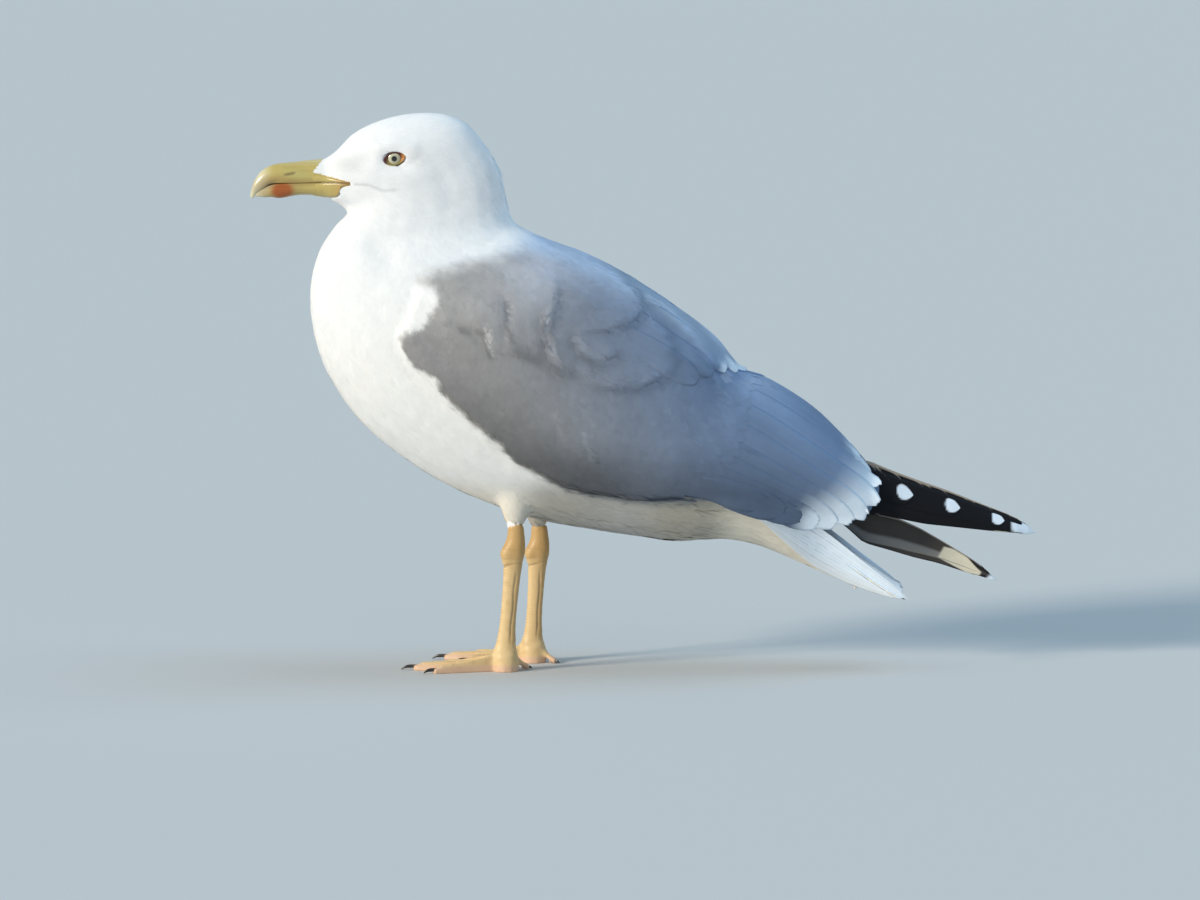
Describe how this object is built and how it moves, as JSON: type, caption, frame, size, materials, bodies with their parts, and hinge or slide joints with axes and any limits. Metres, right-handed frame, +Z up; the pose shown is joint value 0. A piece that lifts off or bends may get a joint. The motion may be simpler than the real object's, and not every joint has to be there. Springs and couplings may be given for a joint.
{
  "type": "standing gull, life-size still model",
  "caption": "Life-size still model of a grey-backed gull with yellow bill and legs, standing at rest with folded wings and looking straight ahead",
  "frame": {"origin": "On the floor, under the middle of the bird's length and width", "axes": "The bird stands on Z = 0 with +Z up and faces -X, so its bill points to -X and its wing tips to +X. Its left side is at -Y"},
  "size_m": [0.5096, 0.135, 0.3608],
  "materials": {
    "white_plumage": "white feathers over solid flesh, matt",
    "rear_plumage": "loose white feathers, matt",
    "grey_plumage": "mid-grey folded wing feathers, matt",
    "black_plumage": "black flight feathers, low sheen",
    "yellow_bill": "yellow horn with a red spot on the lower edge, satin",
    "pale_eye": "pale straw iris, wet gloss",
    "yellow_skin": "yellow-ochre scaled skin, satin",
    "dark_claw": "dark horn, low gloss"
  },
  "bodies": {
    "root": {"belly": "white_plumage", "bill_lower": "yellow_bill", "bill_upper": "yellow_bill", "breast": "white_plumage", "claw_left_hind": "dark_claw", "claw_left_inner": "dark_claw", "claw_left_middle": "dark_claw", "claw_left_outer": "dark_claw", "claw_right_hind": "dark_claw", "claw_right_inner": "dark_claw", "claw_right_middle": "dark_claw", "claw_right_outer": "dark_claw", "eye_left": "pale_eye", "eye_right": "pale_eye", "foot_left": "yellow_skin", "foot_right": "yellow_skin", "head": "white_plumage", "hind_toe_left": "yellow_skin", "hind_toe_right": "yellow_skin", "leg_left": "yellow_skin", "leg_right": "yellow_skin", "neck": "white_plumage", "rump": "rear_plumage", "tail": "rear_plumage", "thigh_left": "rear_plumage", "thigh_right": "rear_plumage", "wing_left": "grey_plumage", "wing_right": "grey_plumage", "wing_tip_left": "black_plumage", "wing_tip_right": "black_plumage"}
  },
  "joints": []
}
